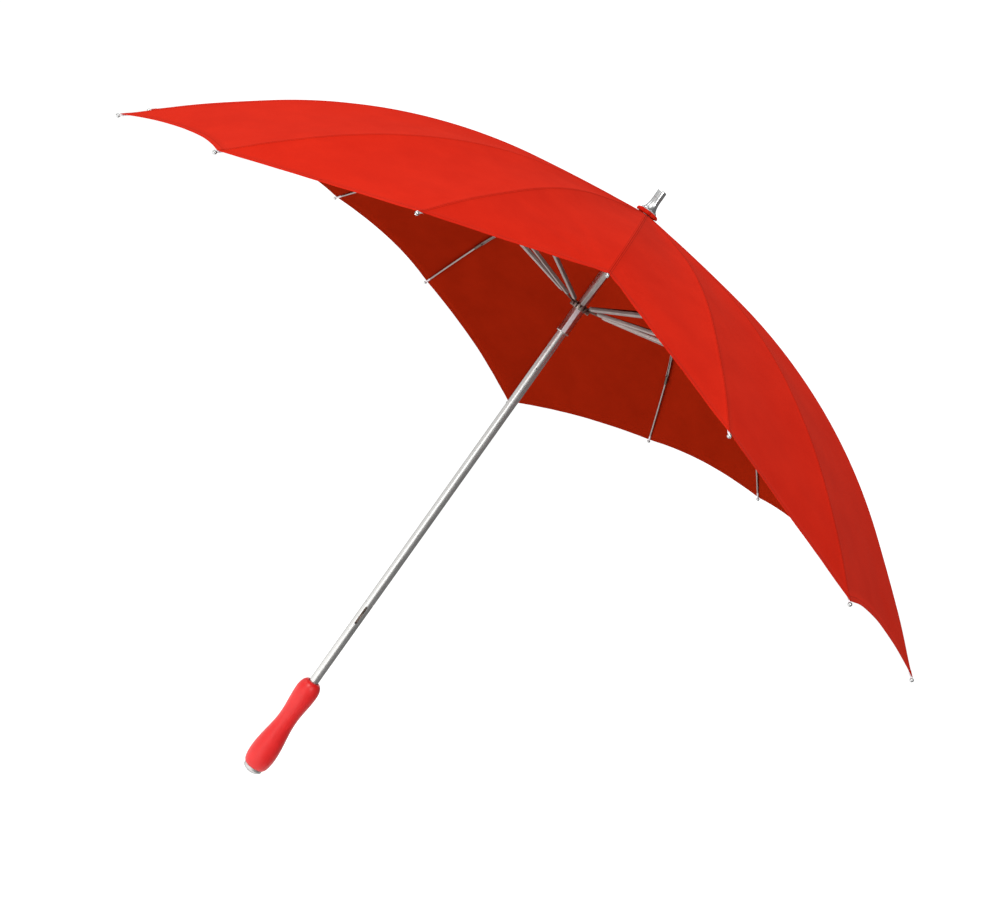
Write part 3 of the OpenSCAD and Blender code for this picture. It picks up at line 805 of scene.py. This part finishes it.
for k in range(RIB_COUNT):
    place = (Matrix.Rotation(rib_azimuth(k), 4, "Z") @ Matrix.Translation((RING_R * MM, 0, RUNNER_Z * MM))
             @ Matrix.Rotation(-STRETCHER_RISE, 4, "Y"))
    for piece, kind, material, slot in ((bar, "bar", RIB_GREY, "rib_steel"), (wire, "wire", DARK, "dark_steel")):
        copy = settle(copied(piece, f"stretcher_{kind}_{k:02d}"), place)
        finished(copy, material, slot, f"stretcher_{k:02d}", f"stretcher_{k:02d}")
for piece in (bar, wire):
    bpy.data.objects.remove(piece, do_unlink=True)


# ---------------------------------------------------------------- the canopy's cloth

# The cloth's grid: even rows down to the hem, then rows at these distances from the free edge
ROWS = 88
HEM = [7.8, 7.0, 1.0, 0.0]
HEM_WIDTH = 7.05
# Columns at these distances from the seam, then even ones to the middle of the gap
SEAM = [0.4, 1.3, 2.4, 3.0]
COLUMNS = 14
# How hard the cloth is pulled to each tip, from the notch round to the point
TENSION = [2.4, 1.2, 1.0, 1.0, 0.8, 0.8, 0.9, 1.0, 1.4]
SAG, CREASE_HEIGHT = 3.2, 0.42
CLOTH_THICKNESS = 0.35


def rib_point(k, s, h=0):
    x, z = along_rib(k % RIB_COUNT, s, h)
    a = rib_azimuth(k)
    return Vector((x * math.cos(a), x * math.sin(a), CANOPY_TOP + z))


def gore_span(g, w):
    return (1 - w) * rib_length(g) + w * rib_length(g + 1) - CLOTH_END - CLOTH_START


def gore_point(g, u, w, h=0):
    """A point of the cloth between ribs g and g + 1: u goes from the top to the free edge and w from rib to rib."""
    u *= 1 - edge_dip(g, 1) * 4 * w * (1 - w)
    near = rib_point(g, CLOTH_START + u * (rib_length(g) - CLOTH_END - CLOTH_START), h)
    far = rib_point(g + 1, CLOTH_START + u * (rib_length(g + 1) - CLOTH_END - CLOTH_START), h)
    return near.lerp(far, w)


TIPS = [rib_point(k, RIB_LENGTHS[mirrored(k)]) for k in range(RIB_COUNT)]


def creases(g, point):
    """Soft folds that run from each rib's tip, where the cloth is pulled to it."""
    total = 0
    for k in (g, g + 1):
        tip, m = TIPS[k % RIB_COUNT], mirrored(k)
        away = point - tip
        d = away.length
        inward = (rib_point(k, RIB_LENGTHS[m] - 60) - tip).normalized()
        turn = math.acos(max(-1, min(1, away.normalized().dot(inward)))) if d > 1e-6 else 0
        wave = math.cos(turn * 13 + 0.6 * m) + 0.6 * math.cos(turn * 23 + 1.1 * m)
        total += TENSION[m] * wave * math.exp(-d / 42) * (1 - math.exp(-d / 12)) * min(1, turn / 0.12)
    return total * CREASE_HEIGHT


def cloth_height(g, u, w, point, to_edge, to_seam):
    """How far the cloth stands off the plain surface between its ribs, with its sag, ripples, hem and seam."""
    sag = -SAG * (4 * w * (1 - w)) ** 1.2 * math.sin(math.pi * min(1, u * 1.04) ** 0.85)
    flat = 1 - math.exp(-max(0, to_edge) / 14)
    ripples = 0.5 * noise.noise(point * 0.018) + 0.22 * noise.noise(point * 0.055 + Vector((7, 3, 1)))
    away = 1 - math.exp(-abs(to_seam) / 10)
    hem = 0.35 * (1 if to_edge <= HEM_WIDTH else 0) - 2.6 * math.exp(-(to_edge / 45) ** 2)
    seam = 0.35 * math.exp(-(to_seam / 2.6) ** 4)
    fold_line = 0.22 if abs(to_seam) < 0.3 else 0
    return sag * (0.25 + 0.75 * flat) + ripples * away + creases(g, point) * away + hem + seam - fold_line


def offsets(width):
    """How far each column is from the seam, in millimetres: a few close to it, and the rest evenly to the middle."""
    close = [s * min(1, width / 12) for s in SEAM]
    return [0] + close + [close[-1] + (width - close[-1]) * (i + 1) / COLUMNS for i in range(COLUMNS)]


def panel_column(k, side, step):
    """One line of the cloth from the top to the free edge, step columns to one side of rib k: for each row, its
    place, its distances across and along the cloth, and how far it is from the free edge."""
    g, at_own_rib = (k, 0) if side > 0 else (k - 1, 1)
    span = gore_span(g, 0.25 if side > 0 else 0.75)
    line = []
    for s in [(span - HEM[0]) * row / (ROWS - 1) for row in range(ROWS)] + [span - inset for inset in HEM]:
        u = s / span
        width = (gore_point(g, u, 0.5) - gore_point(g, u, at_own_rib)).length
        across = offsets(width)[step]
        share = 0.5 * across / width
        line.append((u, share if side > 0 else 1 - share, across))
    flat = [gore_point(g, u, w) for u, w, _ in line]
    runs = [0]
    for a, b in zip(flat, flat[1:]):
        runs.append(runs[-1] + (b - a).length)
    column = []
    for (u, w, across), point, run in zip(line, flat, runs):
        to_edge = runs[-1] - run
        h = cloth_height(g, u, w, point, to_edge, across)
        column.append((gore_point(g, u, w, h), side * across, run, to_edge))
    return column


def face_out(piece, outward):
    """Turns all the normals to the side on which outward, a function of a face's middle, points."""
    with shaping(piece):
        everything()
        bpy.ops.mesh.normals_make_consistent(inside=False)
    if sum(face.normal.dot(outward(face.center)) * face.area for face in piece.data.polygons) < 0:
        with shaping(piece):
            everything()
            bpy.ops.mesh.flip_normals()


def panel(k):
    """The cloth that belongs to rib k: from the middle of one gap, over the rib, to the middle of the next."""
    half = COLUMNS + len(SEAM)
    rows, columns = ROWS + len(HEM), 2 * half + 1
    deselect()
    bpy.ops.mesh.primitive_grid_add(x_subdivisions=columns - 1, y_subdivisions=rows - 1, size=2)
    name = f"{k:02d}"
    piece = named(f"canopy_panel_{name}")
    mesh = piece.data
    lines = [panel_column(k, 1 if column >= half else -1, abs(column - half)) for column in range(columns)]
    for i, vertex in enumerate(mesh.vertices):
        row, column = divmod(i, columns)
        vertex.co = lines[column][row][0] * MM
    weave, edges = mesh.uv_layers.new(name="weave"), mesh.uv_layers.new(name="edges")
    for loop in mesh.loops:
        row, column = divmod(loop.vertex_index, columns)
        _, across, run, to_edge = lines[column][row]
        weave.data[loop.index].uv = Vector((across, CLOTH_START + run)) * MM
        edges.data[loop.index].uv = Vector((across, to_edge)) * MM
    face_out(piece, lambda middle: UP)
    mesh.materials.clear()
    mesh.materials.append(CLOTH)
    # The inner faces get the darker copy of the cloth, which is painted shade.
    mesh.materials.append(CLOTH_INSIDE_PAINTED_SHADE)
    applied(piece, "SOLIDIFY", thickness=CLOTH_THICKNESS * MM, offset=-1, material_offset=1,
            material_offset_rim=0, use_even_offset=False)
    smooth(piece, 60)
    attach(piece, f"rib_{name}")
    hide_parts(f"canopy_{name}")
    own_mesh(piece)


for k in range(RIB_COUNT):
    panel(k)


# ---------------------------------------------------------------- the gathered rosette under the ferrule

def rosette():
    """A small round of cloth, pleated to eight points and bound between the canopy's top and the ferrule."""
    rings = [(6.15, 774.75, 0), (8.5, 774.78, 0), (10.6, 774.7, 0.15), (11.9, 774.35, 0.55), (12.7, 773.4, 0.85),
             (13.0, 772.2, 1), (13.0, 771.0, 1), (12.85, 770.1, 1), (12.5, 769.75, 0.9), (11.4, 769.6, 0.6)]
    turns = 128
    deselect()
    bpy.ops.mesh.primitive_circle_add(vertices=turns, radius=rings[0][0] * MM, location=(0, 0, rings[0][1] * MM))
    bpy.ops.object.mode_set(mode="EDIT")
    bpy.ops.mesh.select_mode(type="EDGE")
    everything()
    for _ in rings[1:]:
        bpy.ops.mesh.extrude_region_move(TRANSFORM_OT_translate={"value": (0, 0, -0.01 * MM)})
    bpy.ops.object.mode_set(mode="OBJECT")
    piece = settle(named("rosette"))
    mesh = piece.data
    places = {}
    for vertex in mesh.vertices:
        ring = vertex.index // turns
        a = math.atan2(vertex.co.y, vertex.co.x)
        r, z, pleat = rings[ring]
        point = abs(math.cos(4 * a)) ** 1.6 - 0.5
        fine = 0.28 * math.sin(23 * a + 0.8 * math.sin(3 * a))
        radius = r + pleat * (2.6 * point + fine)
        droop = 0.22 * pleat * (1 - point) * (ring < 5)
        places[vertex.index] = (a, ring)
        vertex.co = Vector((radius * math.cos(a), radius * math.sin(a), z - droop)) * MM
    weave, edges = mesh.uv_layers.new(name="weave"), mesh.uv_layers.new(name="edges")
    for loop in mesh.loops:
        a, ring = places[loop.vertex_index]
        weave.data[loop.index].uv = Vector((a * 12, ring * 1.5)) * MM
        edges.data[loop.index].uv = (0.5, 0.5)
    face_out(piece, lambda middle: Vector((middle.x, middle.y, 0.004)))
    applied(piece, "SOLIDIFY", thickness=0.45 * MM, offset=-1)
    smooth(piece, 60)
    finished(piece, CLOTH, "canopy_cloth", "shaft", "fabric_rosette")


rosette()


# ---------------------------------------------------------------- floor, light and camera

FLOOR_SIZE, FLOOR_BELOW = 60, 0.6
# The floor stops short on the right, so that side of the room stays dim: the cut runs back from a corner
CUT_CORNER, CUT_SLANT = Vector((0.1, -2.0, 0)), 0.45


def floor():
    deselect()
    bpy.ops.mesh.primitive_plane_add(size=FLOOR_SIZE, location=(0, 0, cad_low.z - FLOOR_BELOW))
    piece = named("floor")
    with shaping(piece):
        everything()
        bpy.ops.mesh.subdivide(number_cuts=3)
    settle(piece)
    with shaping(piece):
        for across, along in ((1, 0), (1, -CUT_SLANT)):
            everything()
            bpy.ops.mesh.bisect(plane_co=CUT_CORNER, plane_no=(across, along, 0))
        pick(piece, lambda middle, normal: middle.x - CUT_CORNER.x > max(0, CUT_SLANT * (middle.y - CUT_CORNER.y)))
        bpy.ops.mesh.delete(type="FACE")
    material, tree, shader = shade("pale floor", Roughness=0.9, Specular_IOR_Level=0.0,
                                   Emission_Color=(1, 1, 1, 1), Emission_Strength=0.5)
    clouds = grain(tree, own_coordinates(tree), 0.6, 2)
    colour = blended(tree, clouds, (0.93, 0.93, 0.93), (0.95, 0.95, 0.95))
    tree.links.new(colour, shader.inputs["Base Color"])
    piece.data.materials.append(material)


def area_light(name, location, aim, size, energy, colour=(1, 1, 1)):
    data = bpy.data.lights.new(name, "AREA")
    data.shape, data.size, data.energy, data.color = "DISK", size, energy, colour
    lamp = bpy.data.objects.new(name, data)
    bpy.context.collection.objects.link(lamp)
    location, aim = Vector(location), Vector(aim)
    turn = (location - aim).to_track_quat("Z", "Y").to_matrix().to_4x4()
    lamp.matrix_world = Matrix.Translation(location) @ turn


def surround():
    """A pale room, brighter on the left than on the right, and white behind the umbrella."""
    world = bpy.data.worlds.new("studio")
    world.use_nodes = True
    tree = world.node_tree
    sky = tree.nodes["Background"]
    direction = node(tree, "ShaderNodeTexCoord")
    split = node(tree, "ShaderNodeSeparateXYZ")
    tree.links.new(direction.outputs["Generated"], split.inputs["Vector"])
    sideways = spread(tree, split.outputs["X"], 0.6, 0.2, -0.6, 0.5)
    behind = spread(tree, split.outputs["Y"], 0.0, 1.0, 0.84, 0.90)
    tree.links.new(calculated(tree, "MAXIMUM", sideways, behind), sky.inputs["Strength"])
    sky.inputs["Color"].default_value = (1, 1, 1, 1)
    bpy.context.scene.world = world


def camera(location, right, up, back, lens):
    data = bpy.data.cameras.new("camera")
    data.lens, data.sensor_width = lens, 36
    data.clip_start, data.clip_end = 0.01, 100
    holder = bpy.data.objects.new("camera", data)
    bpy.context.collection.objects.link(holder)
    turn = Matrix((right, up, back)).transposed().to_4x4()
    holder.matrix_world = Matrix.Translation(location) @ turn
    bpy.context.scene.camera = holder


floor()
area_light("key", (-1.5, -2.9, 2.8), (0, 0, 0.5), 1.0, 72, (1.0, 0.985, 0.96))
area_light("fill", (-3.2, 0.2, 2.2), (0, 0, 0.45), 1.6, 14)
area_light("top", (-1.3, 1.7, 3.2), (0, 0, 0.6), 1.2, 24)
area_light("strip", (-1.25, -2.05, 0.1), (0, 0, 0.3), 0.8, 3.5)
area_light("side", (1.5, -3.0, 1.7), (0.35, 0, 0.45), 1.2, 30)
surround()
camera(location=(-0.0206, -2.01566, 0.64172), right=Vector((0.81504, 0.042, 0.57788)),
       up=Vector((-0.57906, 0.0937, 0.80988)), back=Vector((-0.02014, -0.99471, 0.10069)), lens=59.775)
bpy.context.scene.view_settings.view_transform = "Standard"
bpy.context.scene.view_settings.exposure = 0.25
